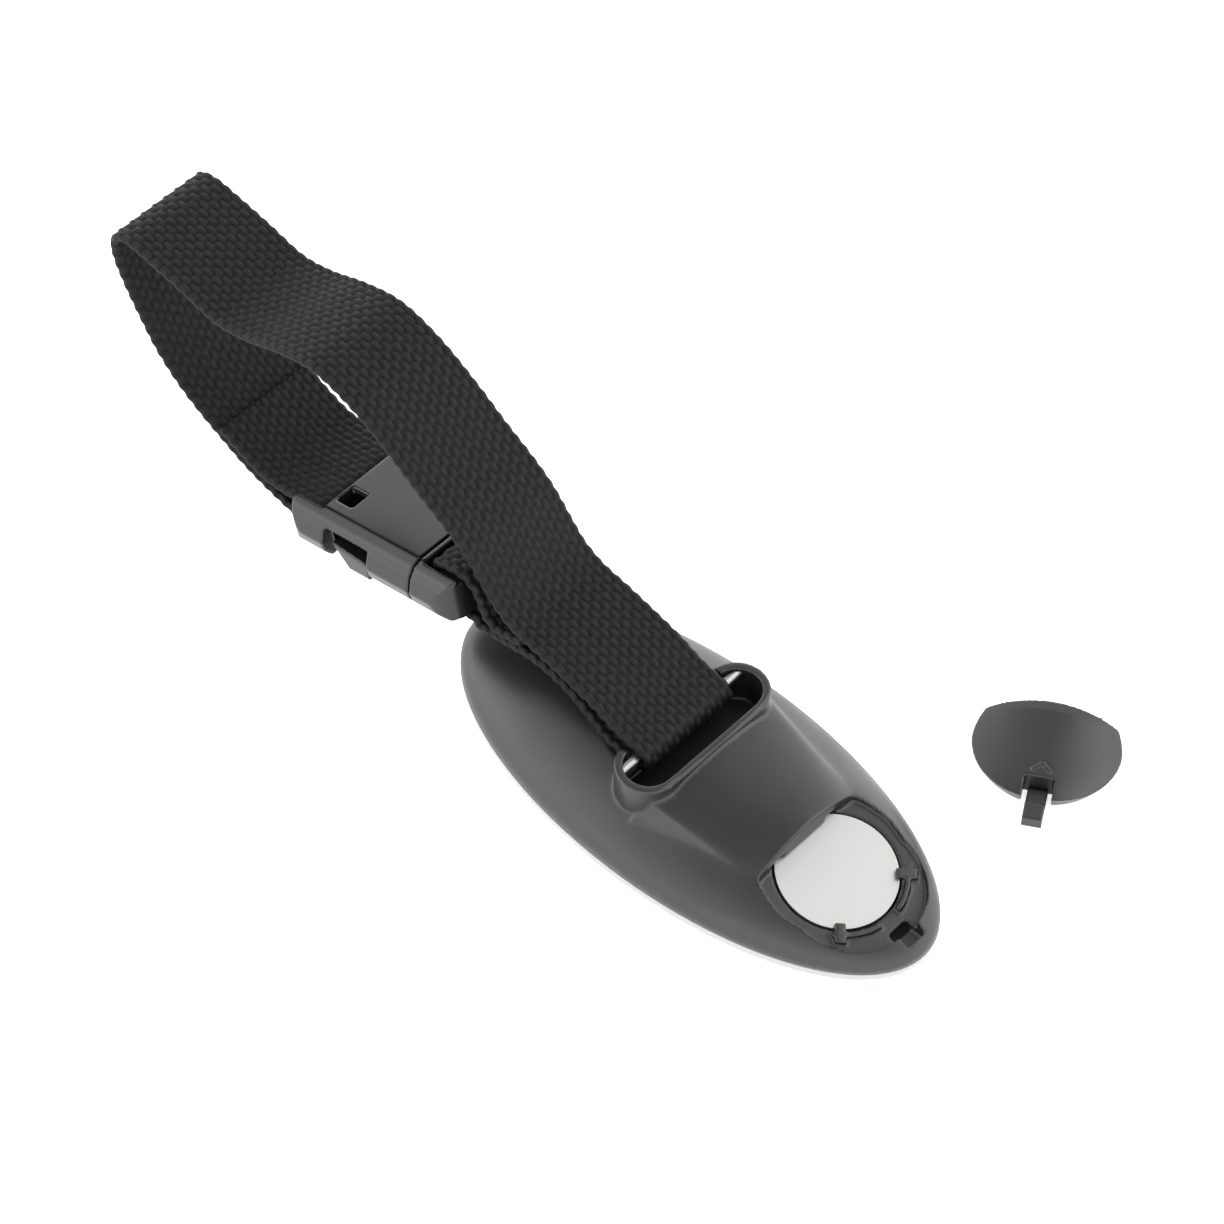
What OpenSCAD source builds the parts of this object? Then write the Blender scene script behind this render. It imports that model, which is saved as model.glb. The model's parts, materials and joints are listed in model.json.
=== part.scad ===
// Electronic clicker trainer: an almond-shaped housing with a coin cell, a click button on its
// front and a wrist strap with a side-release buckle.
// Frame: the front face rests on z = 0, the origin is the centre of the housing's outline,
// +X points to the battery end, +Z to the back with the strap mouth. All sizes in mm.

/* [Housing] */
// Length of the housing's outline
housing_l = 97; // [90:0.5:120]
// Width of the housing's outline
housing_w = 43.2; // [40:0.2:52]
// Height of the front shell, up to the parting line
front_h = 5; // [4.6:0.1:7]
// Rise of the domed back above the parting line
dome_rise = 11; // [10:0.1:15]
// Wall of the domed back
back_wall = 1.8; // [1.4:0.1:2.2]
// Wall of the front shell
front_wall = 1.6; // [1.2:0.1:1.8]
// Height of the front shell's upright rim
front_rim_h = 3.8; // [3.2:0.1:4]
// Dark groove between the two shells
parting_gap = 0.5; // [0.2:0.05:0.8]

/* [Strap mouth] */
// Place of the mouth along the housing
mouth_x = -0.8; // [-3:0.1:1]
// Outer radius of the mouth's round ends
mouth_end_r = 5.5; // [5.2:0.1:6.5]
// Distance between the centres of the round ends
mouth_span = 20.4; // [20:0.2:28]
// Wall of the mouth
mouth_wall = 1.4; // [1:0.1:1.8]
// Height of the mouth's rim above the resting face
mouth_top = 19.3; // [18.5:0.1:24]
// Radius of the steel pin that the strap goes round
pin_r = 1; // [0.8:0.05:1.2]

/* [Battery] */
// Diameter of the coin cell
cell_d = 20; // [16:0.5:20.5]
// Thickness of the coin cell
cell_t = 3.2; // [2.5:0.1:3.6]
// Distance of the cell's centre from the housing's middle
cell_x = 30.2; // [29.5:0.1:31]
// Height of the cell's upper face at its centre
cell_z = 10; // [9.8:0.1:12]
// Slope of the cell towards the battery end
cell_tilt = 12.4; // [9:0.1:13]
// Place of the middle of the bay's lip
lip_x = 22.6; // [22:0.1:23.4]
// Radius of the bay's round opening
bay_r = 12.5; // [12:0.1:12.8]
// Length of the cover from the lip to its latch
cover_l = 18.2; // [17:0.1:18.6]
// Gap all round the seated cover
cover_gap = 0.2; // [0.1:0.05:0.4]

/* [Button and sounder] */
// Diameter of the click button
button_d = 15; // [10:0.5:17]
// Place of the button along the housing
button_x = 8; // [4:0.5:9]
// Travel of the button
button_travel = 0.5; // [0.3:0.05:0.6]
// Diameter of the brass sounder plate
sounder_d = 20; // [15:1:22]
// Place of the sounder along the housing
sounder_x = -25; // [-27:0.5:-24]

/* [Strap and buckle] */
// Width of the webbing
strap_w = 20; // [15:1:20]
// Thickness of the webbing
strap_t = 1.4; // [1:0.1:1.5]
// Width of the buckle
buckle_w = 29; // [28:0.5:34]
// Thickness of the buckle
buckle_t = 8; // [7.6:0.1:9]
// Length of the female half
socket_l = 29.4; // [29:0.2:33]
// Length of the male half's grip
plug_l = 8.9; // [8.8:0.1:11]
// Slope of the buckle, rising to the housing
buckle_tilt = 13.5; // [8:0.5:16]

/* [Hidden] */
$fn = 64;
eps = 0.01;

half_l = housing_l / 2;
half_w = housing_w / 2;
back_base = front_h + parting_gap / 2;
front_top = front_h - parting_gap / 2;
front_side = 3.6;
skirt_in = 1.2;
skirt_w = 1.2;
skirt_h = 1.4;
skirt_gap = 0.15;
big = housing_l;

// Height of the domed back's outer skin over a point.
function dome_z(x, y) = front_h + dome_rise * sqrt(1 - pow(x / half_l, 2) - pow(y / half_w, 2));

// ---- Bodies of the housing ---------------------------------------------------------------

module ellipse_plate(inset, h) linear_extrude(h) scale([half_l - inset, half_w - inset])
    circle(r = 1, $fn = 120);

module ellipsoid(inset, rise) scale([half_l - inset, half_w - inset, rise]) sphere(r = 1, $fn = 120);

module dome(inset) translate([0, 0, front_h]) ellipsoid(inset, dome_rise - inset);

// Everything above a plane that slopes with the cell, lifted by a distance.
module above_cell(lift) cell_frame() translate([-big, -big, lift]) cube([2 * big, 2 * big, big]);

// ---- Ridge between the mouth and the bay --------------------------------------------------

ridge_x = mouth_x + 2;
ridge_half = 14.4;
ridge_top = mouth_top - 0.4;
ridge_curve = 44;
lip_half = 11.4;
lip_curve = 22;
lip_top = dome_z(lip_x, 0) + 1.2;
flank_r = 4.6;

module ridge_slice(x, half, top, curve, low) translate([x, 0, 0]) rotate([90, 0, 90]) linear_extrude(0.1)
    intersection() {
        translate([-half, low]) square([2 * half, top - low]);
        translate([0, top - curve]) circle(r = curve, $fn = 180);
    }

module ridge(inset) hull() {
    ridge_slice(ridge_x, ridge_half - inset, ridge_top - inset, ridge_curve, front_h + 2);
    ridge_slice(lip_x + 2, lip_half - inset, lip_top - 0.4 - inset, lip_curve, front_h + 2);
}

// The hollow side of the ridge: a thin wedge with a tapering round scooped out of it.
module ridge_flank() {
    toe = 2.4;
    shoulder_z = dome_z(ridge_x, ridge_half) + 2.4;
    toe_z = dome_z(ridge_x, ridge_half + toe);
    difference() {
        hull() {
            translate([ridge_x, ridge_half - 1, front_h + 3])
                cube([0.1, 1, shoulder_z - front_h - 3]);
            translate([ridge_x, ridge_half + toe - 0.1, front_h + 3])
                cube([0.1, 0.1, toe_z - front_h - 3]);
            translate([lip_x, lip_half - 1, front_h + 3])
                cube([0.1, 1, dome_z(lip_x, lip_half) - front_h - 3]);
        }
        translate([ridge_x - 1, ridge_half + flank_r, toe_z + flank_r - 0.3])
            rotate([0, 90 + 6, -13]) cylinder(h = lip_x, r1 = flank_r, r2 = 0.6);
    }
}

// ---- Mouth ---------------------------------------------------------------------------------

mouth_floor = 11.6;
mouth_floor_t = 1.4;
pin_gap = 0.2;
pin_x = mouth_x - 3;
pin_z = mouth_top - 1.7;
pin_l = mouth_span + 2 * sqrt(pow(mouth_end_r - mouth_wall / 2, 2) - pow(pin_x - mouth_x, 2));
strap_clear = 0.8;

module stadium(r, h) {
    for (s = [-1, 1]) translate([mouth_x, s * mouth_span / 2, 0]) cylinder(r = r, h = h);
    translate([mouth_x - r, -mouth_span / 2, 0]) cube([2 * r, mouth_span, h]);
}

// The gap under the pin where the lower run of the strap leaves: it runs out over a shallow
// round-bottomed channel in the dome.
exit_w = strap_w + 2 * strap_clear;
exit_floor = pin_z - pin_r - pin_gap - strap_t - 0.5;
channel_r = 40;
channel_x = mouth_x - 7;

module strap_exit() {
    translate([channel_x, 0, exit_floor + channel_r]) rotate([90, 0, 0]) difference() {
        cylinder(r = channel_r, h = exit_w, center = true, $fn = 180);
        translate([mouth_x - channel_x, -big, -exit_w]) cube([big, 2 * big, 2 * exit_w]);
    }
}

module exit_pad() intersection() {
    translate([channel_x - 11, -exit_w / 2 - 1, exit_floor - back_wall])
        cube([16, exit_w + 2, back_wall + 2]);
    dome(0);
}

// ---- Battery bay ---------------------------------------------------------------------------

cell_gap = 0.3;
ledge_lift = 0.1;
tub_wall = 1.2;
tub_floor = 0.9;
tab_w = 3.3;
tab_reach = 3.6;
catch_gap = 0.4;
catch_x = lip_x + cover_l + 2;
catch_floor = 5.8;
clip_angle = 45;
clip_w = 1.8;
clip_over = 0.7;
bay_x = cell_x - 0.9;
lip_bow_r = 67;
dish_r = 11.8;
dish_x = bay_x + 4.2;

// Children drawn in the cell's own frame: origin at the centre of its upper face.
module cell_frame() translate([cell_x, 0, cell_z]) rotate([0, cell_tilt, 0]) children();

// Everything on the battery side of the lip, which bows a little towards the mouth.
module past_lip(inset) translate([lip_x + lip_bow_r, 0]) circle(r = lip_bow_r - inset, $fn = 240);

// Outline of the bay's ledge, where the cover sits, pulled in by the cover's gap where asked.
module bay_outline(inset) intersection() {
    past_lip(inset);
    translate([bay_x, 0]) circle(r = bay_r - inset, $fn = 120);
}

// Outline of the shallow dish round the latch, where a fingernail reaches in.
module dish_outline() intersection() {
    translate([dish_x, 0]) circle(r = dish_r, $fn = 120);
    translate([cell_x, -big]) square([big, 2 * big]);
}

module tub(r, low, high) cell_frame() translate([0, 0, low]) cylinder(r = r, h = high - low);

module cell_clips() for (s = [-1, 1]) cell_frame() rotate([0, 0, s * clip_angle]) {
    translate([cell_d / 2 + cell_gap, -clip_w / 2, -1]) cube([2.4, clip_w, 1.85]);
    translate([cell_d / 2 - clip_over, -clip_w / 2, 0.15]) cube([1.2 + clip_over, clip_w, 0.7]);
}

module bay_ribs() cell_frame() difference() {
    translate([0, 0, -1]) cylinder(r = cell_d / 2 + 1.7, h = 1.8);
    translate([0, 0, -2]) cylinder(r = cell_d / 2 + 0.9, h = 4);
    translate([-big, -big, -2]) cube([big + cell_d / 2 * cos(clip_angle), 2 * big, 4]);
    translate([0, -tab_w / 2 - catch_gap, -2]) cube([big, tab_w + 2 * catch_gap, 4]);
}

// The wall under the lip, down to just above the cell, with two slots for the cover's lugs.
lip_wall_t = 1.2;
lug_w = 3;
lug_t = 0.9;
lug_y = 6.5;
lug_l = 1.4;
lug_lift = 0.45;

module lugs(gap) for (s = [-1, 1]) cell_frame()
    translate([lip_x - cell_x - lug_l - gap, s * lug_y - lug_w / 2 - gap, lug_lift - gap])
        cube([lug_l + 2.4, lug_w + 2 * gap, lug_t + 2 * gap]);

module lip_wall() difference() {
    intersection() {
        translate([lip_x - lip_wall_t, -lip_half - 1, 0]) cube([lip_wall_t + 0.8, 2 * lip_half + 2, big]);
        above_cell(0.3);
        union() {
            dome(0);
            ridge(0);
        }
    }
    lugs(cover_gap);
}

// ---- Screws --------------------------------------------------------------------------------

screw_points = [[-35.5, -8], [-35.5, 8], [14, -14.4], [14, 14.4]];
screw_r = 1;
screw_head_r = 1.9;
screw_head_h = 1;
screw_sink = 0.9;
boss_r = 2.2;
boss_gap = 0.1;
screw_gap = 0.05;
screw_l = 7;

board_screw_points = [[-10, -9], [-10, 9]];

module at_screws() for (p = screw_points) translate([p[0], p[1], 0]) children();

module cross_slot(size, depth) for (a = [0, 90]) rotate([0, 0, a])
    translate([-size / 2, -size / 8, -eps]) cube([size, size / 4, depth]);

module at_board_screws() for (p = board_screw_points) translate([p[0], p[1], 0]) children();

// ---- Shells ----------------------------------------------------------------------------------

module outer_skin(inset) {
    dome(inset);
    ridge(inset);
}

module hollow_dome() difference() {
    union() {
        outer_skin(0);
        ridge_flank();
        mirror([0, 1, 0]) ridge_flank();
    }
    outer_skin(back_wall);
    translate([-big, -big, back_base - 2 * big]) cube([2 * big, 2 * big, 2 * big]);
}

// The floor of the bay's ledge and dish, following the slope of the cell.
module bay_floor() intersection() {
    cell_frame() translate([-big, -big, -1.2 - ledge_lift]) cube([2 * big, 2 * big, 1.2]);
    translate([0, 0, back_base]) linear_extrude(big) union() {
        translate([bay_x, 0]) circle(r = bay_r + 1, $fn = 120);
        translate([dish_x, 0]) circle(r = dish_r + 1, $fn = 120);
    }
    dome(0.2);
}

// A skirt below the parting line that reaches into the front shell and closes the groove.
module skirt() translate([0, 0, front_top - skirt_h]) difference() {
    ellipse_plate(skirt_in, skirt_h + back_base - front_top + 0.6);
    translate([0, 0, -1]) ellipse_plate(skirt_in + skirt_w, skirt_h + 4);
}

module bosses() intersection() {
    union() {
        at_screws() translate([0, 0, front_h - 1]) cylinder(r = boss_r, h = dome_rise);
        at_board_screws() translate([0, 0, board_z + board_t + 0.05]) cylinder(r = boss_r, h = dome_rise);
    }
    dome(back_wall / 2);
}

module bay_cuts() {
    intersection() {
        linear_extrude(big) union() {
            bay_outline(0);
            dish_outline();
        }
        above_cell(-ledge_lift);
    }
    tub(cell_d / 2 + cell_gap, -cell_t - cell_gap, 0.3);
    translate([catch_x, -tab_w / 2 - catch_gap, catch_floor])
        cube([tab_reach + catch_gap, tab_w + 2 * catch_gap, big]);
    cell_frame() translate([-3.5, -3, -cell_t - 3]) cube([9, 6, 3]);
    cell_frame() translate([-cell_d / 2 - cell_gap - 2, -2.8, -cell_t + 0.1]) cube([3, 5.6, cell_t]);
}

module back_shell() color("#1b1b1d") {
    difference() {
        union() {
            hollow_dome();
            skirt();
            exit_pad();
            translate([0, 0, mouth_floor - mouth_floor_t])
                stadium(mouth_end_r, mouth_top - mouth_floor + mouth_floor_t);
            intersection() {
                tub(cell_d / 2 + cell_gap + tub_wall, -cell_t - tub_floor - cell_gap, 8);
                dome(0);
            }
            bay_floor();
            bosses();
        }
        translate([0, 0, mouth_floor]) stadium(mouth_end_r - mouth_wall, big);
        strap_exit();
        bay_cuts();
        translate([pin_x, 0, pin_z]) rotate([90, 0, 0])
            cylinder(r = pin_r + screw_gap, h = pin_l + 2 * screw_gap, center = true);
        at_screws() cylinder(r = screw_r + screw_gap, h = screw_l + screw_sink + 1);
        at_board_screws() cylinder(r = screw_r + screw_gap, h = board_screw_low + board_screw_l + 0.5);
    }
    lip_wall();
    cell_clips();
    bay_ribs();
}

// The hollow of the front shell, which bowls in towards the face as the outside does.
module front_cavity() {
    translate([0, 0, front_rim_h]) ellipse_plate(front_side, big);
    intersection() {
        translate([0, 0, front_rim_h]) ellipsoid(front_side, front_rim_h / 0.6 - 1);
        translate([-big, -big, front_wall]) cube([2 * big, 2 * big, front_rim_h + eps - front_wall]);
    }
}

module front_shell() color("#b9bbbe") difference() {
    union() {
        translate([0, 0, front_rim_h]) ellipse_plate(0, front_top - front_rim_h);
        intersection() {
            translate([0, 0, front_rim_h]) ellipsoid(0, front_rim_h / 0.6);
            translate([-big, -big, 0]) cube([2 * big, 2 * big, front_rim_h]);
        }
    }
    difference() {
        front_cavity();
        at_screws() cylinder(r = boss_r, h = front_top - boss_gap - 1);
    }
    translate([0, 0, front_top - skirt_h - skirt_gap]) ellipse_plate(skirt_in - skirt_gap, big);
    translate([button_x, 0, -1]) cylinder(d = button_d + 2 * button_gap, h = big);
    for (i = [-2:2]) translate([sounder_x - grille_l / 2, i * grille_pitch - grille_w / 2, -1])
        cube([grille_l, grille_w, front_wall + 2]);
    at_screws() {
        translate([0, 0, -1]) cylinder(r = screw_r + 2 * boss_gap, h = big);
        translate([0, 0, -1]) cylinder(r = screw_head_r + boss_gap, h = 1 + screw_sink + screw_head_h);
    }
}

module case_screws() color("silver") at_screws() translate([0, 0, screw_sink]) difference() {
    union() {
        cylinder(r = screw_head_r, h = screw_head_h);
        cylinder(r = screw_r, h = screw_l);
    }
    cross_slot(2.4, 0.7);
}

module strap_pin() color("silver") translate([pin_x, 0, pin_z]) rotate([90, 0, 0])
    cylinder(r = pin_r, h = pin_l, center = true);

// ---- Coin cell and its contacts --------------------------------------------------------------

can_wall = 0.25;
gasket_t = 0.4;
cap_inset = 1.2;

module coin_cell_can() color("#d6d7d9") cell_frame() translate([0, 0, -cell_t]) difference() {
    cylinder(d = cell_d, h = cell_t);
    translate([0, 0, -eps]) cylinder(r = cell_d / 2 - can_wall, h = cell_t - can_wall + eps);
}

module coin_cell_gasket() color("#3a3a3c") cell_frame() translate([0, 0, -cell_t]) difference() {
    cylinder(r = cell_d / 2 - can_wall, h = cell_t - can_wall);
    translate([0, 0, -eps]) cylinder(r = cell_d / 2 - can_wall - gasket_t, h = cell_t);
}

module coin_cell_cap() color("#c4c6c8") cell_frame() translate([0, 0, -cell_t]) {
    cylinder(r = cell_d / 2 - cap_inset - can_wall, h = 0.4);
    translate([0, 0, 0.4]) cylinder(r = cell_d / 2 - can_wall - gasket_t, h = cell_t - can_wall - 0.4);
}

contact_t = 0.3;
contact_half = 2;
contact_low = cell_t + tub_floor + cell_gap + 0.1 + contact_t;

// A strip under the tub's floor with a raised button against the cell's cap.
module minus_contact() color("#c9b26a") cell_frame() {
    translate([-14, -contact_half, -contact_low]) cube([19, 2 * contact_half, contact_t]);
    translate([-14.3, -contact_half, -contact_low - 0.25]) cube([0.6, 2 * contact_half, contact_t + 0.2]);
    translate([0, 0, -contact_low + contact_t / 2])
        cylinder(r = 1.6, h = contact_low - cell_t - contact_t / 2 - 0.05);
}

// A leaf against the can's edge, with a foot that steps down to the board.
module plus_contact() color("#c9b26a") cell_frame() {
    translate([-cell_d / 2 - 0.04 - contact_t, -contact_half, -2.9]) cube([contact_t, 2 * contact_half, 2.7]);
    translate([-14.6, -contact_half, -2.9]) cube([14.5 - cell_d / 2, 2 * contact_half, contact_t]);
    translate([-14.9, -contact_half, -5.2]) cube([contact_t + 0.05, 2 * contact_half, 5.2 - 2.9 + contact_t]);
}

// ---- Circuit board ---------------------------------------------------------------------------

board_z = 7;
board_t = 1;
board_x0 = -13;
board_x1 = 16.7;
board_half = 12;

module circuit_board() color("#1f5c38") difference() {
    translate([board_x0, -board_half, board_z]) cube([board_x1 - board_x0, 2 * board_half, board_t]);
    at_board_screws() cylinder(r = screw_r + screw_gap, h = big);
}

board_screw_low = board_z - 1.15;
board_screw_l = 5.2;

module board_screws() color("silver") at_board_screws() translate([0, 0, board_screw_low]) {
    cylinder(r = screw_head_r, h = 1.1);
    cylinder(r = screw_r, h = board_screw_l);
}

module controller_chip() color("#2a2a2a") translate([6, -10, board_z + board_t]) {
    cube([5, 4, 1.5]);
}

module small_board_parts() color("#8a6b4a") for (i = [0:4])
    translate([board_x0 + 9 + 3.4 * i, board_half - 3, board_z + board_t]) cube([2, 1.2, 0.8]);

module boost_coil() color("#a65f2a") translate([-10.5, 3, board_z + board_t]) cylinder(d = 5, h = 3.6);

// ---- Switch and button -------------------------------------------------------------------------

button_gap = 0.25;
button_face = 0.6;
button_flange = 1;
switch_size = 6;
plunger_r = 1.7;
switch_low = board_z - 2.4;
plunger_low = switch_low - button_travel - 0.2;

module switch_body() color("#262626") translate([button_x, 0, 0]) difference() {
    translate([-switch_size / 2, -switch_size / 2, switch_low])
        cube([switch_size, switch_size, board_z - switch_low]);
    translate([0, 0, switch_low - 1]) cylinder(r = plunger_r + 0.1, h = 1 + 1.8);
}

module switch_plunger() color("#b8402e") translate([button_x, 0, plunger_low])
    cylinder(r = plunger_r, h = switch_low - plunger_low + 1);

module click_button() color("#6f7276") translate([button_x, 0, 0]) difference() {
    union() {
        translate([0, 0, button_face]) cylinder(d = button_d, h = front_wall - button_face + 0.05);
        translate([0, 0, front_wall + 0.05]) cylinder(r = button_d / 2 + button_flange, h = 0.7);
        translate([0, 0, front_wall]) cylinder(r = 2.6, h = plunger_low - 0.03 - front_wall);
    }
    translate([0, 0, button_face - 28.6]) sphere(r = 29, $fn = 96);
}

// ---- Sounder -----------------------------------------------------------------------------------

grille_l = 10;
grille_w = 1.2;
grille_pitch = 2.4;
ring_h = 1.2;
ring_w = 1.5;
plate_t = 0.3;
ceramic_t = 0.3;
plate_z = front_wall + ring_h;

module sounder_ring() color("#3c3c3e") translate([sounder_x, 0, front_wall]) difference() {
    cylinder(d = sounder_d + 1, h = ring_h);
    translate([0, 0, -1]) cylinder(r = sounder_d / 2 - ring_w, h = ring_h + 2);
}

module sounder_plate() color("#c9a24a") translate([sounder_x, 0, plate_z]) cylinder(d = sounder_d, h = plate_t);

module sounder_ceramic() color("#e6e2d8") translate([sounder_x, 0, plate_z + plate_t])
    cylinder(d = sounder_d * 0.7, h = ceramic_t);

wire_r = 0.5;
wire_top = 9.2;

// A wire that stands up from the sounder, runs level and drops to the board, round at its two bends.
module wire(x, y, z, target_x, target_y) {
    run = [target_x - x, target_y - y];
    translate([x, y, z]) cylinder(r = wire_r, h = wire_top - z);
    translate([x, y, wire_top]) rotate([0, 90, atan2(run[1], run[0])]) cylinder(r = wire_r, h = norm(run));
    for (p = [[x, y], [target_x, target_y]]) translate([p[0], p[1], wire_top]) sphere(r = 1.15 * wire_r);
    translate([target_x, target_y, board_z + board_t]) cylinder(r = wire_r, h = wire_top - board_z - board_t);
}

module sounder_wires() color("#b02020") {
    wire(sounder_x + 4, -2, plate_z + plate_t + ceramic_t, board_x0 + 2, -4);
    wire(sounder_x + sounder_d * 0.42, 2, plate_z + plate_t, board_x0 + 2, -1);
}

// ---- Battery cover, lying beside the housing ------------------------------------------------------

cover_at = [31.4, 51.9];
cover_turn = -59;
cover_skin = 1.3;
recess_l = 3.6;
recess_w = 4.9;
latch_t = 1.1;
latch_gap = 0.35;
latch_root = lip_x + cover_l - recess_l;
arrow_cut = 0.35;
rim_z = dome_z(lip_x + cover_l, 0);
rim_draft = 0.7;

// From the seat in the housing to the place beside it.
module beside_housing() translate([cover_at[0], cover_at[1], 0]) rotate([0, 0, cover_turn])
    translate([-lip_x, 0, 0]) unseat() children();

module unseat() translate([cell_x, 0, 0]) rotate([0, -cell_tilt, 0])
    translate([-cell_x, 0, -cell_z]) children();

// The cover's rim leans in below its edge, so that it drops into the bay without catching.
module rim_cone() translate([bay_x, 0, 0]) {
    cylinder(r1 = bay_r - cover_gap - rim_draft * rim_z, r2 = bay_r - cover_gap, h = rim_z);
    translate([0, 0, rim_z]) cylinder(r = bay_r - cover_gap, h = big);
}

// The hull carries the end of the ridge over into the dome without a step.
module cover_body() hull() intersection() {
    linear_extrude(big) bay_outline(cover_gap);
    rim_cone();
    above_cell(0);
    outer_skin(0);
}

// An arrow cut shallow into the skin, which says which way to push the latch.
module arrow_groove() difference() {
    translate([latch_root - 2.9, 0, 0]) linear_extrude(big)
        polygon([[0, 0], [1.5, 1.7], [2.2, 1.7], [0.7, 0], [2.2, -1.7], [1.5, -1.7]]);
    dome(arrow_cut);
}

module battery_cover() color("#1b1b1d") beside_housing() {
    difference() {
        cover_body();
        intersection() {
            outer_skin(cover_skin);
            linear_extrude(big) bay_outline(cover_gap + 1.1);
            translate([lip_x, -big, 0]) cube([cover_l - recess_l - 1.1, 2 * big, big]);
        }
        translate([latch_root, -recess_w / 2, 0]) cube([recess_l + 6, recess_w, big]);
        arrow_groove();
    }
    lugs(0);
}

module cover_latch() color("#1b1b1d") beside_housing() cell_frame()
    translate([latch_root - cell_x + latch_gap, -tab_w / 2, 0.02]) {
        cube([recess_l + tab_reach - latch_gap, tab_w, latch_t]);
        translate([recess_l, 0, 0]) cube([tab_reach - latch_gap, tab_w, 2 * latch_t]);
    }

// ---- Buckle ----------------------------------------------------------------------------------------

buckle_at = [-55, 0, 23];
bc = cos(buckle_tilt);
bs = sin(buckle_tilt);

module buckle_frame() translate(buckle_at) rotate([0, -buckle_tilt, 0]) children();

// A point of the buckle's own frame in the housing's x and z.
function from_buckle(x, z) = [buckle_at[0] + x * bc - z * bs, buckle_at[2] + x * bs + z * bc];

strap_slot_l = 4;
strap_slot_w = strap_w + 1.6;
split_x = 5;
socket_end = split_x - socket_l;
socket_plate = -17.8;
socket_wall = 1.5;
socket_side = 2.9;
socket_corner = 4;
socket_bar_top = -0.5;
socket_bar_low = -3.5;
hole_y = 6.4;
hole_l = 3.7;
notch_x0 = -15.5;
notch_x1 = -5;
notch_y = 3.6;
notch_low_y = 7.8;
notch_top = 2.2;
plug_gap = 0.3;
plug_end = split_x + plug_gap + plug_l;
plug_corner = 5;
plug_slot_l = 2.4;
bar_l = 5.3;
plug_bar_top = 3;

// The buckle's section: a flat top with broad sloping shoulders.
buckle_half = buckle_w / 2;
buckle_low = -buckle_t / 2;
right_side = [
    [buckle_half - 4, -buckle_low], [buckle_half - 2.2, -0.82 * buckle_low], [buckle_half - 0.9, -0.45 * buckle_low],
    [buckle_half, 0.1 * buckle_low], [buckle_half - 0.4, 0.6 * buckle_low], [buckle_half - 1.6, buckle_low]
];

// A length of that section, round at the corners of the end away from x = 0.
module buckle_block(l, r) intersection() {
    rotate([90, 0, 90]) linear_extrude(l)
        polygon(concat(right_side, [for (i = [len(right_side) - 1:-1:0]) [-right_side[i][0], right_side[i][1]]]));
    linear_extrude(2 * buckle_t, center = true) {
        translate([0, -buckle_half]) square([l - r, buckle_w]);
        translate([0, r - buckle_half]) square([l, buckle_w - 2 * r]);
        for (s = [-1, 1]) translate([l - r, s * (buckle_half - r)]) circle(r = r);
    }
}

module side_notches() for (s = [0, 1]) mirror([0, s, 0]) {
    translate([notch_x0, buckle_half - notch_y, 2 * buckle_low])
        cube([notch_x1 - notch_x0, big, notch_top - 2 * buckle_low]);
    translate([notch_x0, buckle_half - notch_low_y, 2 * buckle_low])
        cube([notch_x1 - notch_x0, big, -buckle_low + socket_wall + eps]);
}

module buckle_socket() color("#17171a") buckle_frame() difference() {
    translate([split_x, 0, 0]) mirror([1, 0, 0]) buckle_block(socket_l, socket_corner);
    translate([socket_plate + 0.6, -buckle_half + socket_side, buckle_low + socket_wall])
        cube([split_x - socket_plate, buckle_w - 2 * socket_side, buckle_t - 2 * socket_wall]);
    side_notches();
    translate([socket_plate - strap_slot_l, -strap_slot_w / 2, -buckle_t])
        cube([strap_slot_l, strap_slot_w, 2 * buckle_t]);
    translate([socket_end - 1, -strap_slot_w / 2, socket_bar_top])
        cube([socket_plate - socket_end, strap_slot_w, buckle_t]);
    translate([socket_end - 1, -strap_slot_w / 2, socket_bar_low - buckle_t])
        cube([socket_plate - socket_end, strap_slot_w, buckle_t]);
    for (s = [-1, 1]) translate([socket_plate + 0.7, s * hole_y - hole_l / 2, 0]) cube([hole_l, hole_l, buckle_t]);
}

module buckle_plug() color("#17171a") buckle_frame() difference() {
    union() {
        translate([split_x + plug_gap, 0, 0]) buckle_block(plug_l, plug_corner);
        translate([split_x - 13, -2, buckle_low + socket_wall + 0.2])
            cube([13 + plug_gap + 1, 4, buckle_t - 2 * socket_wall - 0.4]);
    }
    translate([plug_end - bar_l - plug_slot_l, -strap_slot_w / 2, -buckle_t])
        cube([plug_slot_l, strap_slot_w, 2 * buckle_t]);
    translate([plug_end - bar_l - 1, -strap_slot_w / 2, plug_bar_top])
        cube([bar_l + 2, strap_slot_w, buckle_t]);
}

arm_y = buckle_half - 5.1;
arm_tip = notch_x0 + 2;
arm_root = 0.1;

// A springy arm whose arrow-shaped pad looks out of the side notch.
module buckle_arm() {
    translate([arm_tip, arm_y, -2]) cube([split_x - arm_root - arm_tip, 2, 4]);
    translate([0, buckle_half - 0.6, 0]) rotate([90, 0, 0]) linear_extrude(notch_y - 0.7)
        polygon([[arm_tip, 0.6], [arm_tip + 3, -3.8], [notch_x1 - 0.3, -3.8], [notch_x1 - 0.3, -0.4]]);
}

module buckle_arm_far() color("#17171a") buckle_frame() buckle_arm();
module buckle_arm_near() color("#17171a") buckle_frame() mirror([0, 1, 0]) buckle_arm();

// ---- Wrist strap --------------------------------------------------------------------------------------

wrap_r = pin_r + pin_gap + strap_t / 2;
plug_bar_x = plug_end - bar_l;
socket_bar_x = socket_plate - strap_slot_l;

// Points on a round bend about a corner of a bar, in the buckle's own frame.
bend_r = strap_t / 2 + 0.32;
function bend(x, z, angles) = [for (a = angles) from_buckle(x + bend_r * cos(a), z + bend_r * sin(a))];

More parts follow.
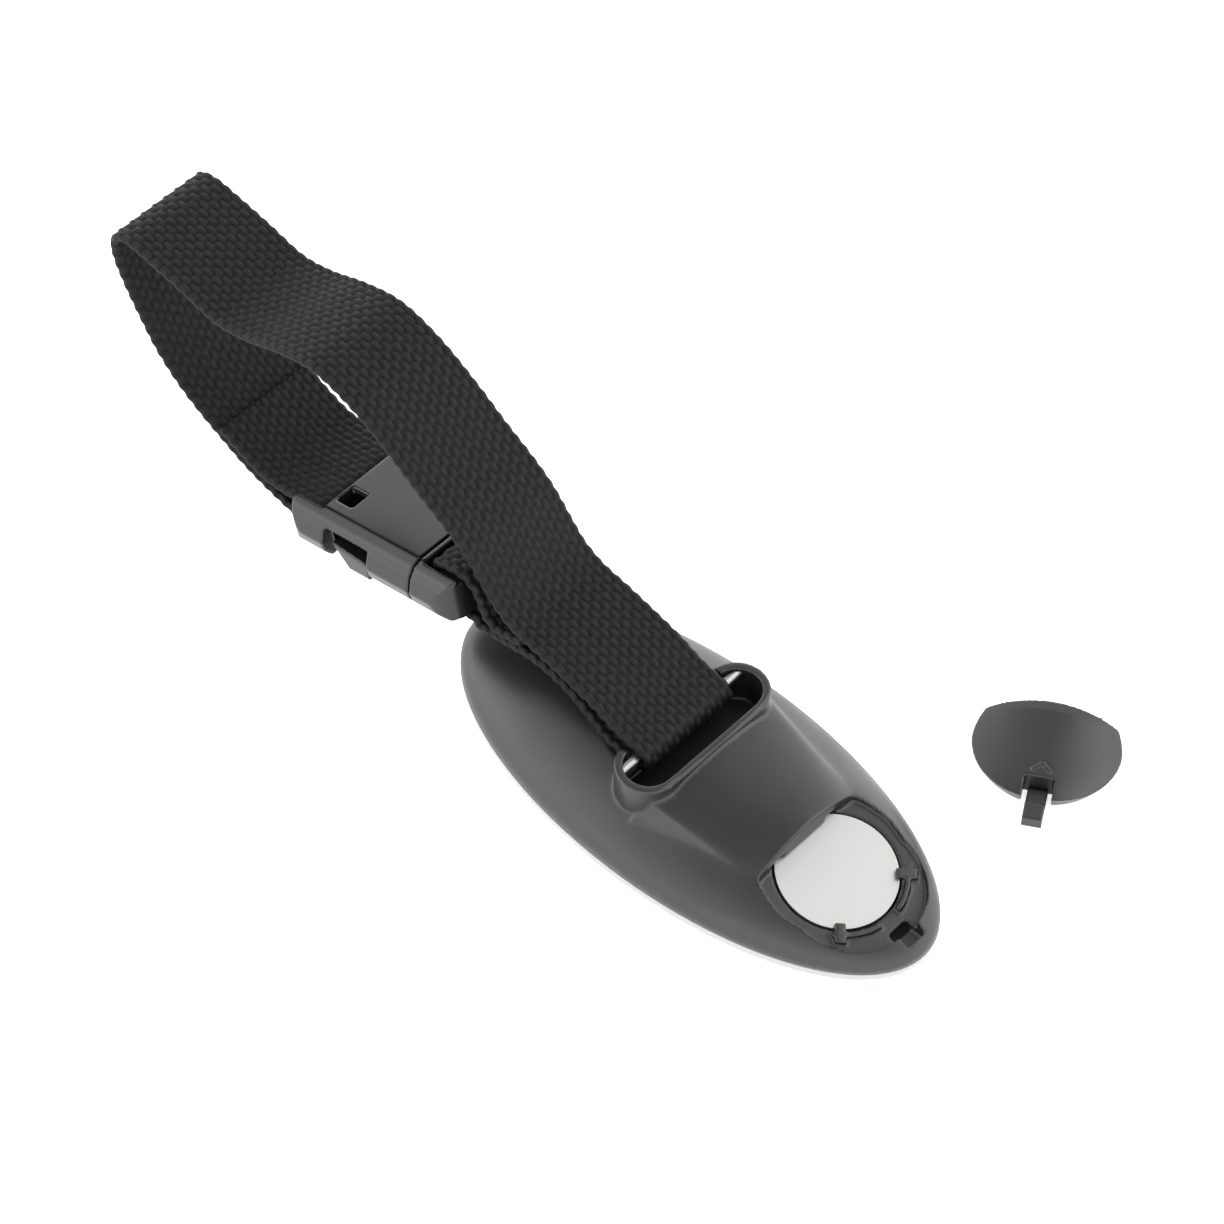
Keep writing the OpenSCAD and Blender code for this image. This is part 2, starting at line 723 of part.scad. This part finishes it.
// The middle line of the webbing in x and z, from its sewn end at the plug to the one at the socket.
strap_path = [
    [-29, 24.2], [-32, 23.4], [-35, 22.8], [-37, 24], [-38.2, 26.4], [-39.8, 29.2],
    from_buckle(plug_bar_x + bar_l, plug_bar_top + bend_r),
    each bend(plug_bar_x, plug_bar_top, [90, 135, 180]),
    each bend(plug_bar_x, -buckle_t / 2, [180, 225, 270]),
    from_buckle(plug_bar_x + bar_l, -buckle_t / 2 - bend_r),
    [-38.5, 20.6], [-35, 21.2], [-31, 21.9], [-27, 22.6], [-23, 22.4], [-18, 20.9], [-14, 18.4], [-10.5, 16.3],
    for (a = [-90:30:90]) [pin_x + wrap_r * cos(a), pin_z + wrap_r * sin(a)],
    [-8, 20.4], [-13, 22.4], [-18, 23.8], [-24, 25.2], [-30, 26.4], [-34, 28.6], [-37.5, 32.6], [-41, 36.8],
    [-45, 40], [-51, 43.8], [-58, 48.6], [-66, 53], [-74, 55], [-82, 53.2], [-90, 50], [-97, 48.6],
    [-105, 50.2], [-112, 51.4], [-117.4, 52], [-120.4, 51], [-121.4, 48.6], [-121, 45.4], [-119.2, 40.8],
    [-116, 34.8], [-112.6, 29.4], [-108.4, 25], [-103.6, 21.6], [-98, 18.6], [-93, 16.2], [-88, 14.6],
    from_buckle(socket_end - 1, socket_bar_low - bend_r + 0.2),
    each bend(socket_bar_x, socket_bar_low, [270, 315, 360]),
    each bend(socket_bar_x, socket_bar_top, [0, 45, 90]),
    from_buckle(socket_end - 0.6, socket_bar_top + bend_r),
    [-88, 16.5], [-93, 18], [-98.6, 20.6]
];

// A smooth curve through points: centripetal Catmull-Rom, which never loops where points lie close.
function mix(a, b, ta, tb, t) = a * (tb - t) / (tb - ta) + b * (t - ta) / (tb - ta);
function gap(a, b) = sqrt(max(norm(b - a), 0.001));

function spline(p, i, u) = let (
    b = p[i], c = p[i + 1],
    a = i > 0 ? p[i - 1] : 2 * b - c,
    d = i < len(p) - 2 ? p[i + 2] : 2 * c - b,
    tb = gap(a, b), tc = tb + gap(b, c), td = tc + gap(c, d), t = tb + u * (tc - tb),
    ab = mix(a, b, 0, tb, t), bc = mix(b, c, tb, tc, t), cd = mix(c, d, tc, td, t),
    abc = mix(ab, bc, 0, tc, t), bcd = mix(bc, cd, tb, td, t)
) mix(abc, bcd, tb, tc, t);

function smooth_path(p, steps) = [
    for (i = [0:len(p) - 2], k = [0:steps - 1]) spline(p, i, k / steps), p[len(p) - 1]
];

function heading(p, i) = let (d = p[min(i + 1, len(p) - 1)] - p[max(i - 1, 0)]) d / norm(d);

function side_line(p, off) = [for (i = [0:len(p) - 1]) p[i] + off * [-heading(p, i)[1], heading(p, i)[0]]];

function flip(p) = [for (i = [len(p) - 1:-1:0]) p[i]];

module ribbon(path, t, w) rotate([90, 0, 0]) linear_extrude(w, center = true)
    polygon(concat(side_line(path, t / 2), flip(side_line(path, -t / 2))));

module wrist_strap() color("#2b2b2e") ribbon(smooth_path(strap_path, 3), strap_t, strap_w);

back_shell();
front_shell();
case_screws();
strap_pin();
coin_cell_can();
coin_cell_cap();
coin_cell_gasket();
plus_contact();
minus_contact();
circuit_board();
board_screws();
controller_chip();
small_board_parts();
boost_coil();
switch_body();
switch_plunger();
click_button();
sounder_ring();
sounder_plate();
sounder_ceramic();
sounder_wires();
battery_cover();
cover_latch();
wrist_strap();
buckle_socket();
buckle_plug();
buckle_arm_near();
buckle_arm_far();
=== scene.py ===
# %% [markdown]
# # An electronic dog-training clicker with a wrist strap
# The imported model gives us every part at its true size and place. Our job is the surface of things:
# soft moulded edges, a real weave in the strap, and plastics and metals that answer light as the
# real ones do. The frame comes first, because every new piece takes its place from it.

# %% Load the frame
import json
import math

import bpy
import numpy as np
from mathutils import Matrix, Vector

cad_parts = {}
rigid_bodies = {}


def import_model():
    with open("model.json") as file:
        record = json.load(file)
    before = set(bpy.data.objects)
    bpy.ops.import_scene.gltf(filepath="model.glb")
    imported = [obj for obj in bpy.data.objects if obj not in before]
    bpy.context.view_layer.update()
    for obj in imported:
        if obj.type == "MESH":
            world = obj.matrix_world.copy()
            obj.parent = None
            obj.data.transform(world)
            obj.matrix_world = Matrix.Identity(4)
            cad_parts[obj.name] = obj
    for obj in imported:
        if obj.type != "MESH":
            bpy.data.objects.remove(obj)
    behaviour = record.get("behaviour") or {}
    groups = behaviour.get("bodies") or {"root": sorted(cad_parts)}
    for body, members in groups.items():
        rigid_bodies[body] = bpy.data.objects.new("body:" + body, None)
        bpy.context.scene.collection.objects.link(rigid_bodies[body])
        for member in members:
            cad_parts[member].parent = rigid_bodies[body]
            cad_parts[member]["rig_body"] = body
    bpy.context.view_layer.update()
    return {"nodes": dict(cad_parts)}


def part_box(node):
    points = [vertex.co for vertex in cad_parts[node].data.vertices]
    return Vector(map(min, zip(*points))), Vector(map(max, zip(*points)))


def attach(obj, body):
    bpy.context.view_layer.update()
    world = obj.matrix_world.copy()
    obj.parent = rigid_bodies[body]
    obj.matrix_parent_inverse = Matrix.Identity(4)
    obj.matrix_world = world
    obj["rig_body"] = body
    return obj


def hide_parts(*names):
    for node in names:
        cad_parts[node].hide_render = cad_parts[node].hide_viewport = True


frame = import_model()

nodes = frame["nodes"]
scene = bpy.context.scene
MM = 0.001
print("parts in the frame:", len(nodes))

# %% [markdown]
# ## The studio
# Catalogue pictures are taken on a light table: the white top glows a little, so shadows nearly
# vanish, and the room is far brighter low down than overhead. Black plastic shows that best. Its
# flat tops mirror the dim ceiling and stay dark, while its sides mirror the bright table and turn
# pale. So the world fades from bright at the horizon to dim above, and two large lamps add a little
# direction.

# %% Camera
azimuth, elevation = math.radians(43.52), math.radians(51.97)
target = Vector((-30.87, 13.06, 10)) * MM
distance = 759.9 * MM
level = math.cos(elevation)
back = Vector((math.sin(azimuth) * level, -math.cos(azimuth) * level, math.sin(elevation)))
camera = bpy.data.objects.new("camera", bpy.data.cameras.new("camera"))
scene.collection.objects.link(camera)
camera.data.sensor_width = 36
camera.data.lens = 136.7
camera.data.clip_start = 0.05
camera.location = target + back * distance
camera.rotation_mode = "QUATERNION"
camera.rotation_quaternion = (-back).to_track_quat("-Z", "Y")
scene.camera = camera


# %% Helpers for colour, nodes and selection
def linear(code):
    """An sRGB hex colour as the linear RGBA that shaders want."""
    channels = [int(code[i:i + 2], 16) / 255 for i in (1, 3, 5)]
    return [c / 12.92 if c <= 0.04045 else ((c + 0.055) / 1.055) ** 2.4 for c in channels] + [1]


def add(tree, kind, links=None, **settings):
    """A new node; settings go to its sockets or properties, links join other nodes' outputs to it."""
    made = tree.nodes.new(kind)
    for key, value in settings.items():
        if key in made.inputs:
            made.inputs[key].default_value = value
        else:
            setattr(made, key, value)
    for socket, source in (links or {}).items():
        tree.links.new(source, made.inputs[socket])
    return made


def surface(name, colour, roughness, **sockets):
    """A material with its one shader; sockets are the shader's own values."""
    made = bpy.data.materials.new(name)
    made.use_nodes = True
    shader = made.node_tree.nodes["Principled BSDF"]
    values = {"Base Color": linear(colour), "Roughness": roughness, **sockets}
    for socket, value in values.items():
        shader.inputs[socket].default_value = value
    return made, made.node_tree, shader


def pick(piece):
    """Leaves only this piece selected and active."""
    bpy.ops.object.select_all(action="DESELECT")
    piece.select_set(True)
    bpy.context.view_layer.objects.active = piece


# %% Floor, world and lamps
table_glow = 0.6
horizon_light = 3.4
overhead_light = 0.7
overhead_from = 0.9
bpy.ops.object.select_all(action="DESELECT")
bpy.ops.mesh.primitive_plane_add(size=6, location=(0, 0, -0.0001))
floor = bpy.context.object
floor.name = "table_top"
paint, tree, shader = surface("white_table", "#fbfbfb", 0.6)
shader.inputs["Emission Color"].default_value = linear("#ffffff")
shader.inputs["Emission Strength"].default_value = table_glow
floor.data.materials.append(paint)

world = bpy.data.worlds.new("studio")
scene.world = world
world.use_nodes = True
sky = world.node_tree
look = add(sky, "ShaderNodeTexCoord")
height = add(sky, "ShaderNodeSeparateXYZ", {"Vector": look.outputs["Generated"]})
fade = add(sky, "ShaderNodeMapRange", {"Value": height.outputs["Z"]})
fade.inputs["From Max"].default_value = overhead_from
fade.inputs["To Min"].default_value = horizon_light
fade.inputs["To Max"].default_value = overhead_light
sky.links.new(fade.outputs["Result"], sky.nodes["Background"].inputs["Strength"])
sky.nodes["Background"].inputs["Color"].default_value = linear("#ffffff")
scene.view_settings.view_transform = "Standard"


def lamp(name, place, size, watts):
    """A square soft light that looks at the middle of the object."""
    light = bpy.data.lights.new(name, "AREA")
    light.size = size
    light.energy = watts
    holder = bpy.data.objects.new(name, light)
    holder.location = place
    holder.rotation_mode = "QUATERNION"
    holder.rotation_quaternion = (target - Vector(place)).to_track_quat("-Z", "Y")
    scene.collection.objects.link(holder)


lamp("key_soft_box", (0.35, 0.55, 0.75), 0.6, 3)
lamp("fill_soft_box", (-0.7, -0.5, 0.6), 0.8, 2.5)

# %% [markdown]
# ## Moulded plastics
# The shells are satin black ABS, moulded in a tool that was spark-eroded to a fine matt grain. That
# grain is about a tenth of a millimetre, too small to see one by one, but it breaks the highlight
# up, so it is a fine noise in the bump. A second, slow noise moves the roughness a little, as
# handling does. One function makes all the plastics, because only colour and gloss differ.


# %% Plastic materials
def moulded(name, colour, roughness, ior, grain_mm=0.25, depth_mm=0.012):
    """Injection-moulded plastic: spark grain in the bump, slow change in the gloss."""
    made, tree, shader = surface(name, colour, roughness, IOR=ior)
    place = add(tree, "ShaderNodeTexCoord")
    slow = add(tree, "ShaderNodeTexNoise", {"Vector": place.outputs["Object"]}, Scale=70, Detail=3)
    gloss = add(tree, "ShaderNodeMapRange", {"Value": slow.outputs["Fac"]})
    gloss.inputs["From Min"].default_value = 0.3
    gloss.inputs["From Max"].default_value = 0.7
    gloss.inputs["To Min"].default_value = roughness - 0.05
    gloss.inputs["To Max"].default_value = roughness + 0.07
    tree.links.new(gloss.outputs["Result"], shader.inputs["Roughness"])
    fine = add(tree, "ShaderNodeTexNoise", {"Vector": place.outputs["Object"]}, Scale=1 / (grain_mm * MM), Detail=2)
    bump = add(tree, "ShaderNodeBump", {"Height": fine.outputs["Fac"]}, Strength=0.6, Distance=depth_mm * MM)
    tree.links.new(bump.outputs["Normal"], shader.inputs["Normal"])
    return made


black_abs = moulded("black_satin_abs", "#161617", 0.36, 1.54)
grey_abs = moulded("grey_satin_abs", "#9c9ea1", 0.4, 1.54)
button_abs = moulded("button_grey_abs", "#55585c", 0.42, 1.54)
black_acetal = moulded("black_acetal", "#131314", 0.2, 1.48, grain_mm=0.4, depth_mm=0.005)

# %% [markdown]
# ## Metals and small inner parts
# The coin cell is deep-drawn steel with a nickel plate: pale, satin, with a faint circular grain
# left by the drawing tool. The strap's pin and the screws are turned steel. The parts inside are
# hardly ever seen, but each still gets its own finish, since the shell can be taken off.


# %% Metal materials
def turned_metal(name, colour, roughness, centre_mm, ring_mm=0.3, depth_mm=0.004):
    """Metal with faint rings round a centre, as a lathe or a drawing die leaves them."""
    made, tree, shader = surface(name, colour, roughness, Metallic=1.0)
    place = add(tree, "ShaderNodeTexCoord")
    centred = add(tree, "ShaderNodeMapping", {"Vector": place.outputs["Object"]})
    centred.inputs["Location"].default_value = [-c * MM for c in centre_mm]
    rings = add(tree, "ShaderNodeTexWave", {"Vector": centred.outputs["Vector"]}, wave_type="RINGS",
                rings_direction="SPHERICAL", Scale=0.32 / (ring_mm * MM), Distortion=1.5)
    bump = add(tree, "ShaderNodeBump", {"Height": rings.outputs["Fac"]}, Strength=0.4, Distance=depth_mm * MM)
    tree.links.new(bump.outputs["Normal"], shader.inputs["Normal"])
    return made


def clouded(name, colour, other, roughness, spot_mm, **sockets):
    """Two close tones that drift into each other, for finishes that are never quite even."""
    made, tree, shader = surface(name, colour, roughness, **sockets)
    place = add(tree, "ShaderNodeTexCoord")
    cloud = add(tree, "ShaderNodeTexNoise", {"Vector": place.outputs["Object"]}, Scale=1 / (spot_mm * MM), Detail=4)
    tones = add(tree, "ShaderNodeMix", {"Factor": cloud.outputs["Fac"]}, data_type="RGBA")
    tones.inputs[6].default_value = linear(colour)
    tones.inputs[7].default_value = linear(other)
    tree.links.new(tones.outputs[2], shader.inputs["Base Color"])
    bump = add(tree, "ShaderNodeBump", {"Height": cloud.outputs["Fac"]}, Strength=0.3, Distance=0.02 * MM)
    tree.links.new(bump.outputs["Normal"], shader.inputs["Normal"])
    return made


cell_low, cell_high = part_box("coin_cell_can")
cell_centre = (cell_low + cell_high) / 2 / MM
finishes = {
    "nickel_plate": turned_metal("satin_nickel_plate", "#b4b4b2", 0.48, cell_centre),
    "steel": turned_metal("turned_steel", "#8f9093", 0.3, (-3.8, 0, 17.6), ring_mm=0.2),
    "brass": clouded("rolled_brass", "#c8a04c", "#b48a3c", 0.32, 1.5, Metallic=1.0),
    "board": clouded("green_solder_mask", "#15502f", "#1b6038", 0.35, 2.0, IOR=1.5),
    "ceramic": clouded("fired_ceramic", "#dcd6c6", "#cfc7b4", 0.5, 1.2, IOR=1.6),
    "rubber": clouded("black_seal_rubber", "#1b1b1c", "#242425", 0.75, 0.8, IOR=1.52),
    "copper": clouded("varnished_copper_coil", "#8c4a22", "#a65f2a", 0.35, 0.4, Metallic=1.0),
    "wire": clouded("red_wire_cover", "#8f1616", "#a31d1d", 0.45, 1.0, IOR=1.53),
    "red": clouded("red_moulded_plunger", "#a33524", "#b03e2b", 0.4, 1.0, IOR=1.53),
}
node_finish = {
    "coin_cell_can": finishes["nickel_plate"], "coin_cell_cap": finishes["nickel_plate"],
    "coin_cell_gasket": finishes["rubber"], "plus_contact": finishes["brass"],
    "minus_contact": finishes["brass"], "circuit_board": finishes["board"],
    "board_screws": finishes["steel"], "case_screws": finishes["steel"], "strap_pin": finishes["steel"],
    "controller_chip": black_abs, "small_board_parts": finishes["ceramic"],
    "boost_coil": finishes["copper"], "switch_body": black_abs, "switch_plunger": finishes["red"],
    "click_button": button_abs, "sounder_ring": finishes["rubber"], "sounder_plate": finishes["brass"],
    "sounder_ceramic": finishes["ceramic"], "sounder_wires": finishes["wire"], "front_shell": grey_abs,
}
for name, finish in node_finish.items():
    nodes[name].data.materials.clear()
    nodes[name].data.materials.append(finish)
print("finished as they are:", len(node_finish))

# %% [markdown]
# ## Soft edges on the moulded shells
# A moulded shell has no sharp edge and no crease: the tool's cutters leave rounds everywhere, and
# the plastic skins over them. We take a copy of the part, weld it, let the Remesh modifier wrap it
# in an even skin of small faces, and relax that skin with the Smooth modifier. The more often it is
# relaxed, the rounder each edge gets, and the Decimate modifier then drops the faces that flat
# stretches can spare. A vertex group lets one stretch be relaxed much more than the rest, for the
# broad blends between the ridge and the dome.


# %% A softened copy of a part
def softened(node, name, voxel_mm, passes, finish, keep=1.0):
    """A copy of a CAD part with an even skin and rounded edges; keep is the share of faces left."""
    piece = bpy.data.objects.new(name, nodes[node].data.copy())
    scene.collection.objects.link(piece)
    pick(piece)
    bpy.ops.object.mode_set(mode="EDIT")
    bpy.ops.mesh.select_all(action="SELECT")
    bpy.ops.mesh.remove_doubles(threshold=0.002 * MM)
    bpy.ops.object.mode_set(mode="OBJECT")
    skin = piece.modifiers.new("skin", "REMESH")
    skin.mode = "VOXEL"
    skin.voxel_size = voxel_mm * MM
    relax = piece.modifiers.new("relax", "SMOOTH")
    relax.factor = 0.5
    relax.iterations = passes
    thin = piece.modifiers.new("thin", "DECIMATE")
    thin.ratio = keep
    for step in (skin, relax, thin):
        bpy.ops.object.modifier_apply(modifier=step.name)
    bpy.ops.object.shade_smooth()
    piece.data.materials.clear()
    piece.data.materials.append(finish)
    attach(piece, nodes[node]["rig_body"])
    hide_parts(node)
    print(name, "has", len(piece.data.polygons), "faces")
    return piece


def places(piece):
    """A piece's points, one row each, in metres."""
    flat = np.empty(len(piece.data.vertices) * 3, np.float32)
    piece.data.vertices.foreach_get("co", flat)
    return flat.reshape(-1, 3)


def relax_where(piece, weight, passes):
    """Relaxes a piece more where weight, a number from 0 to 1 for each point, is high."""
    group = piece.vertex_groups.new(name="blend")
    for i in np.flatnonzero(weight > 0.01):
        group.add([int(i)], float(weight[i]), "REPLACE")
    pick(piece)
    relax = piece.modifiers.new("blend", "SMOOTH")
    relax.factor = 0.5
    relax.iterations = passes
    relax.vertex_group = group.name
    bpy.ops.object.modifier_apply(modifier=relax.name)
    piece.vertex_groups.clear()


# %% The back shell
housing_back = softened("back_shell", "housing_back", 0.27, 2, black_abs, keep=0.32)
spots = places(housing_back) / MM
x, y, z = spots.T
along = np.clip((x - 3) / 4, 0, 1) * np.clip((23.5 - x) / 3, 0, 1)
flank = np.clip((np.abs(y) - 8.5) / 2.5, 0, 1) * np.clip(z - 8.5, 0, 1)
relax_where(housing_back, along * flank, 60)

# %% The loose battery cover and its tongue
softened("battery_cover", "bay_cover", 0.16, 4, black_abs)
softened("cover_latch", "cover_tongue", 0.15, 2, black_abs)

# %% The buckle
for node, name in (("buckle_socket", "buckle_female"), ("buckle_plug", "buckle_male"),
                   ("buckle_arm_near", "press_arm_near"), ("buckle_arm_far", "press_arm_far")):
    softened(node, name, 0.2, 9, black_acetal, keep=0.6)

# %% [markdown]
# ## The webbing
# Narrow polypropylene webbing is woven so tightly that only the lengthwise yarns show. They lie in
# columns about 1.2 mm wide, and each yarn floats over two crossing threads and dives under the next,
# so a column is a row of small slanted pads. Neighbours slant opposite ways and start half a pad
# later, which is what makes the zigzag. A flat image could draw it, but the edge of the strap would
# stay a straight line. Here the pads are real: one fine slab, with each point lifted by a formula
# that repeats with the weave, is then laid along the strap's route.

# %% The strap's route
tilt = math.radians(13.5)
buckle_at = (-55, 23)
bar_bend = 1.02
wrap = 1.9
pin_x, pin_z = -3.8, 17.6
plug_bar, plug_end, plug_top, plug_low = 8.9, 14.2, 3, -4
socket_bar, socket_end, socket_top, socket_low = -21.8, -24.4, -0.5, -3.5


def from_buckle(x, z):
    """A point of the buckle's own frame in the housing's x and z, in mm."""
    return (buckle_at[0] + x * math.cos(tilt) - z * math.sin(tilt),
            buckle_at[1] + x * math.sin(tilt) + z * math.cos(tilt))


def round_bend(x, z, angles):
    """Points round a corner of a buckle's bar."""
    turns = [math.radians(a) for a in angles]
    return [from_buckle(x + bar_bend * math.cos(a), z + bar_bend * math.sin(a)) for a in turns]


route = [
    (-29, 24.2), (-32, 23.4), (-35, 22.8), (-37, 24), (-38.2, 26.4), (-39.8, 29.2),
    from_buckle(plug_end, plug_top + bar_bend), *round_bend(plug_bar, plug_top, (90, 135, 180)),
    *round_bend(plug_bar, plug_low, (180, 225, 270)), from_buckle(plug_end, plug_low - bar_bend),
    (-38.5, 20.6), (-35, 21.2), (-31, 21.9), (-27, 22.6), (-23, 22.4), (-18, 20.9), (-14, 18.4), (-10.5, 16.3),
    *[(pin_x + wrap * math.cos(math.radians(a)), pin_z + wrap * math.sin(math.radians(a)))
      for a in range(-90, 91, 30)],
    (-8, 20.4), (-13, 22.4), (-18, 23.8), (-24, 25.2), (-30, 26.4), (-34, 28.6), (-37.5, 32.6), (-41, 36.8),
    (-45, 40), (-51, 43.8), (-58, 48.6), (-66, 53), (-74, 55), (-82, 53.2), (-90, 50), (-97, 48.6),
    (-105, 50.2), (-112, 51.4), (-117.4, 52), (-120.4, 51), (-121.4, 48.6), (-121, 45.4), (-119.2, 40.8),
    (-116, 34.8), (-112.6, 29.4), (-108.4, 25), (-103.6, 21.6), (-98, 18.6), (-93, 16.2), (-88, 14.6),
    from_buckle(socket_end - 1, socket_low - bar_bend + 0.2), *round_bend(socket_bar, socket_low, (270, 315, 360)),
    *round_bend(socket_bar, socket_top, (0, 45, 90)), from_buckle(socket_end - 0.6, socket_top + bar_bend),
    (-88, 16.5), (-93, 18), (-98.6, 20.6),
]


def smooth_line(points, steps):
    """A centripetal Catmull-Rom curve through the points, which never loops where they lie close."""
    p = np.array([points[0], *points, points[-1]], float)
    p[0] = 2 * p[1] - p[2]
    p[-1] = 2 * p[-2] - p[-3]
    line = []
    for a, b, c, d in zip(p, p[1:], p[2:], p[3:]):
        times = np.cumsum([0, *[math.sqrt(max(np.linalg.norm(w - v), 0.001)) for v, w in ((a, b), (b, c), (c, d))]])
        for t in np.linspace(times[1], times[2], steps, endpoint=False):
            def mix(v, w, i, j):
                return v * (times[j] - t) / (times[j] - times[i]) + w * (t - times[i]) / (times[j] - times[i])
            ab, bc, cd = mix(a, b, 0, 1), mix(b, c, 1, 2), mix(c, d, 2, 3)
            line.append(mix(mix(ab, bc, 0, 2), mix(bc, cd, 1, 3), 1, 2))
    return np.array([*line, p[-2]])


line = smooth_line(route, 12)
steps = np.linalg.norm(np.diff(line, axis=0), axis=1)
travelled = np.concatenate([[0], np.cumsum(steps)])
strap_length = travelled[-1]
print(f"webbing is {strap_length:.0f} mm long")

# %% The weave's height at a point of the flat strap
strap_width = 20
columns = 16
pad_length = 2.2
column_width = strap_width / columns
slab_half = 0.46
pad_height = 0.42
pad_lean = 0.34
crown_power = 2.2
roundness = 0.6
selvedge_at, selvedge_width = 9.3, 0.7


def weave(s, across):
    """How far the yarn stands out of the slab, in mm, at s along and across the strap."""
    column = np.floor(across / column_width + columns / 2)
    odd = np.mod(column, 2)
    turn = s / pad_length + odd / 2
    inside = turn - np.floor(turn)
    lean = np.where(odd > 0, 1, -1) * (inside - 0.5) * pad_lean
    sideways = across / column_width + columns / 2 - column - 0.5 - lean
    crown = np.clip(1 - np.abs(2 * sideways) ** crown_power, 0, 1)
    rise = np.clip(np.sin(math.pi * inside), 0, 1) ** roundness
    return pad_height * crown ** roundness * rise


# %% [markdown]
# The slab is a grid primitive, extruded downwards to a closed sheet. It is made in two lengths that
# meet under the pin, where nobody looks, to keep each mesh light. Both faces are lifted by the same
# weave, the sides are pulled in to a rounded selvedge, and then each point is carried from the flat
# strap to the route: its place along the strap picks a point and a direction on the line.


# %% Lay a length of webbing
def webbing(name, start, end, faces_per_pad=6, faces_per_column=4):
    """A length of the strap from start to end, in mm along the route, as one closed woven slab."""
    span = end - start
    bpy.ops.object.select_all(action="DESELECT")
    bpy.ops.mesh.primitive_grid_add(x_subdivisions=round(span / pad_length * faces_per_pad),
                                    y_subdivisions=columns * faces_per_column, size=1)
    piece = bpy.context.object
    piece.name = name
    bpy.ops.object.mode_set(mode="EDIT")
    bpy.ops.mesh.select_all(action="SELECT")
    bpy.ops.mesh.extrude_region_move(TRANSFORM_OT_translate={"value": (0, 0, -1)})
    bpy.ops.mesh.select_all(action="SELECT")
    bpy.ops.mesh.normals_make_consistent(inside=False)
    bpy.ops.object.mode_set(mode="OBJECT")
    flat = places(piece)
    s = start + (flat[:, 0] + 0.5) * span
    across = flat[:, 1] * strap_width
    side = np.where(flat[:, 2] > -0.5, 1, -1)
    edge = np.clip((np.abs(across) - selvedge_at) / selvedge_width, 0, 1)
    lift = weave(s, np.clip(across, -9.999, 9.999))
    depth = piece.data.attributes.new("relief", "FLOAT", "POINT")
    depth.data.foreach_set("value", (lift / pad_height).astype(np.float32))
    thick = (slab_half + lift) * np.sqrt(1 - 0.75 * edge ** 2)
    across = across + np.sign(across) * edge * 0.1 * np.cos(2 * math.pi * s / pad_length)
    heading = np.stack([np.interp(s, travelled[:-1] + steps / 2, np.diff(line[:, i]) / steps) for i in (0, 1)], 1)
    heading /= np.linalg.norm(heading, axis=1, keepdims=True)
    middle = np.stack([np.interp(s, travelled, line[:, i]) for i in (0, 1)], 1)
    lifted = middle + (side * thick)[:, None] * np.stack([-heading[:, 1], heading[:, 0]], 1)
    placed = np.stack([lifted[:, 0], across, lifted[:, 1]], 1) * MM
    piece.data.vertices.foreach_set("co", placed.astype(np.float32).ravel())
    corner = np.empty(len(piece.data.loops), np.int32)
    piece.data.loops.foreach_get("vertex_index", corner)
    unrolled = np.stack([s, across + side * strap_width], 1)[corner] * MM
    piece.data.uv_layers.active.data.foreach_set("uv", unrolled.astype(np.float32).ravel())
    piece.data.update()
    pick(piece)
    bpy.ops.object.mode_set(mode="EDIT")
    bpy.ops.mesh.select_all(action="SELECT")
    bpy.ops.mesh.normals_make_consistent(inside=False)
    bpy.ops.object.mode_set(mode="OBJECT")
    bpy.ops.object.shade_smooth()
    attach(piece, "strap")
    print(name, "has", len(piece.data.polygons), "faces")
    return piece


under_pin = travelled[np.argmin(np.hypot(line[:, 0] - pin_x, line[:, 1] - (pin_z - wrap)))]
lower_webbing = webbing("webbing_lower_run", 0, under_pin)
upper_webbing = webbing("webbing_long_run", under_pin, strap_length)
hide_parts("wrist_strap")

# %% [markdown]
# Black polypropylene yarn is a dull satin, and what the eye reads as weave is mostly the dark between
# the pads. The slab kept each point's lift as an attribute, so the colour is darkened to near black in
# the gaps as painted shade, while a fine wave along the yarn gives the single strands to the bump.

# %% Woven polypropylene
fabric, tree, shader = surface("black_polypropylene_webbing", "#161618", 0.6, IOR=1.49)
shader.inputs["Specular IOR Level"].default_value = 0.2
unrolled = add(tree, "ShaderNodeUVMap")
unrolled.uv_map = upper_webbing.data.uv_layers.active.name
strands = add(tree, "ShaderNodeTexWave", {"Vector": unrolled.outputs["UV"]}, bands_direction="Y",
              Scale=0.32 / (0.3 * MM), Distortion=3)
strands.inputs["Detail"].default_value = 3
strands.inputs["Detail Scale"].default_value = 2
bump = add(tree, "ShaderNodeBump", {"Height": strands.outputs["Fac"]}, Strength=0.5, Distance=0.06 * MM)
tree.links.new(bump.outputs["Normal"], shader.inputs["Normal"])
fuzz = add(tree, "ShaderNodeTexNoise", {"Vector": unrolled.outputs["UV"]}, Scale=1 / (1.4 * MM), Detail=4)
tones = add(tree, "ShaderNodeMix", {"Factor": fuzz.outputs["Fac"]}, data_type="RGBA")
tones.inputs[6].default_value = linear("#101011")
tones.inputs[7].default_value = linear("#1c1c1e")
# painted shade: where the yarn lies low between the pads, the colour is mixed towards near black #030303
relief = add(tree, "ShaderNodeAttribute", attribute_name="relief")
painted_gap_shade_factor = add(tree, "ShaderNodeMapRange", {"Value": relief.outputs["Fac"]})
painted_gap_shade_factor.inputs["To Min"].default_value = 0.12
painted_gap_shade = add(tree, "ShaderNodeMix", {"Factor": painted_gap_shade_factor.outputs["Result"]}, data_type="RGBA")
painted_gap_shade.inputs[6].default_value = linear("#030303")
tree.links.new(tones.outputs[2], painted_gap_shade.inputs[7])
tree.links.new(painted_gap_shade.outputs[2], shader.inputs["Base Color"])
for piece in (lower_webbing, upper_webbing):
    piece.data.materials.append(fabric)
